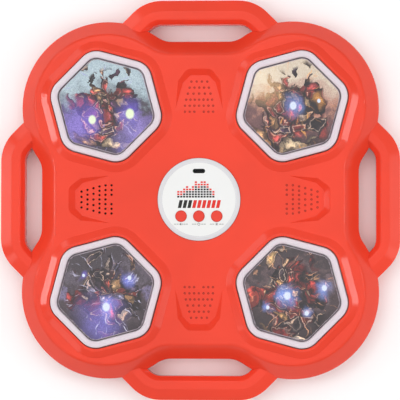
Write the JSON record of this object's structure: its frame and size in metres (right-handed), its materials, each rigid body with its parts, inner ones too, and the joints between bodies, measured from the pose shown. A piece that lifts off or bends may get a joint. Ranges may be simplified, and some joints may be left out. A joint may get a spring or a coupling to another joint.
{
  "type": "boxing punch machine",
  "caption": "Lobed electronic boxing target with sprung hexagonal strike pads, a round control disc, sunken speaker grilles and carrying handles.",
  "frame": {"origin": "on the surface that the rubber feet rest on, under the middle of the face", "axes": "+Z out of the face, +Y up the face when it hangs on a wall, +X to its right seen from the front"},
  "size_m": [0.4, 0.4, 0.048],
  "materials": {
    "casing_red": "glossy moulded ABS",
    "disc_white": "glossy moulded ABS",
    "overlay_print": "printed polycarbonate film",
    "button_red": "soft silicone-coated cap",
    "rim_translucent": "milky translucent polycarbonate",
    "skin_print": "printed fine-grained polyurethane skin",
    "foam_grey": "dense closed-cell foam",
    "board_green": "solder-masked circuit board",
    "led_white": "surface-mounted lamp",
    "switch_black": "moulded switch",
    "steel": "zinc-plated steel",
    "spring_steel": "nickel-plated spring wire",
    "rubber_black": "moulded rubber",
    "frame_black": "black pressed steel",
    "cone_black": "pressed paper cone",
    "magnet_grey": "ferrite magnet",
    "cell_blue": "shrink-wrapped cell",
    "strap_black": "moulded strap",
    "lead_black": "vinyl insulation"
  },
  "bodies": {
    "housing": {"front_casing": "casing_red", "back_casing": "casing_red", "control_disc": "disc_white", "panel_overlay": "overlay_print", "main_board": "board_green", "tact_switches": "switch_black", "charging_socket": "steel", "board_screws": "steel", "casing_screws": "steel", "rubber_feet": "rubber_black", "speaker_frame": "frame_black", "speaker_cone": "cone_black", "speaker_magnet": "magnet_grey", "speaker_screws": "steel", "speaker_lead": "lead_black", "battery_cell": "cell_blue", "battery_strap": "strap_black", "strap_screws": "steel", "battery_lead": "lead_black", "led_board_screws": "steel", "led_board_top_left": "board_green", "leds_top_left": "led_white", "pad_switch_top_left": "switch_black", "springs_top_left": "spring_steel", "pad_lead_top_left": "lead_black", "led_board_top_right": "board_green", "leds_top_right": "led_white", "pad_switch_top_right": "switch_black", "springs_top_right": "spring_steel", "pad_lead_top_right": "lead_black", "led_board_bottom_left": "board_green", "leds_bottom_left": "led_white", "pad_switch_bottom_left": "switch_black", "springs_bottom_left": "spring_steel", "pad_lead_bottom_left": "lead_black", "led_board_bottom_right": "board_green", "leds_bottom_right": "led_white", "pad_switch_bottom_right": "switch_black", "springs_bottom_right": "spring_steel", "pad_lead_bottom_right": "lead_black"},
    "pad_top_left": {"pad_rim_top_left": "rim_translucent", "pad_foam_top_left": "foam_grey", "pad_face_top_left": "skin_print"},
    "pad_top_right": {"pad_rim_top_right": "rim_translucent", "pad_foam_top_right": "foam_grey", "pad_face_top_right": "skin_print"},
    "pad_bottom_left": {"pad_rim_bottom_left": "rim_translucent", "pad_foam_bottom_left": "foam_grey", "pad_face_bottom_left": "skin_print"},
    "pad_bottom_right": {"pad_rim_bottom_right": "rim_translucent", "pad_foam_bottom_right": "foam_grey", "pad_face_bottom_right": "skin_print"},
    "key_left": {"button_left": "button_red"},
    "key_middle": {"button_middle": "button_red"},
    "key_right": {"button_right": "button_red"}
  },
  "joints": [
    {"name": "press_pad_top_left", "type": "slide", "parent": "housing", "child": "pad_top_left", "axis": [0, 0, -1], "range_m": [0, 0.003], "stiffness_N_per_m": 4000, "springref_m": -0.002, "deforming": ["springs_top_left"]},
    {"name": "press_pad_top_right", "type": "slide", "parent": "housing", "child": "pad_top_right", "axis": [0, 0, -1], "range_m": [0, 0.003], "stiffness_N_per_m": 4000, "springref_m": -0.002, "deforming": ["springs_top_right"]},
    {"name": "press_pad_bottom_left", "type": "slide", "parent": "housing", "child": "pad_bottom_left", "axis": [0, 0, -1], "range_m": [0, 0.003], "stiffness_N_per_m": 4000, "springref_m": -0.002, "deforming": ["springs_bottom_left"]},
    {"name": "press_pad_bottom_right", "type": "slide", "parent": "housing", "child": "pad_bottom_right", "axis": [0, 0, -1], "range_m": [0, 0.003], "stiffness_N_per_m": 4000, "springref_m": -0.002, "deforming": ["springs_bottom_right"]},
    {"name": "press_button_left", "type": "slide", "parent": "housing", "child": "key_left", "axis": [0, 0, -1], "range_m": [0, 0.0008], "stiffness_N_per_m": 400, "springref_m": -0.001},
    {"name": "press_button_middle", "type": "slide", "parent": "housing", "child": "key_middle", "axis": [0, 0, -1], "range_m": [0, 0.0008], "stiffness_N_per_m": 400, "springref_m": -0.001},
    {"name": "press_button_right", "type": "slide", "parent": "housing", "child": "key_right", "axis": [0, 0, -1], "range_m": [0, 0.0008], "stiffness_N_per_m": 400, "springref_m": -0.001}
  ]
}
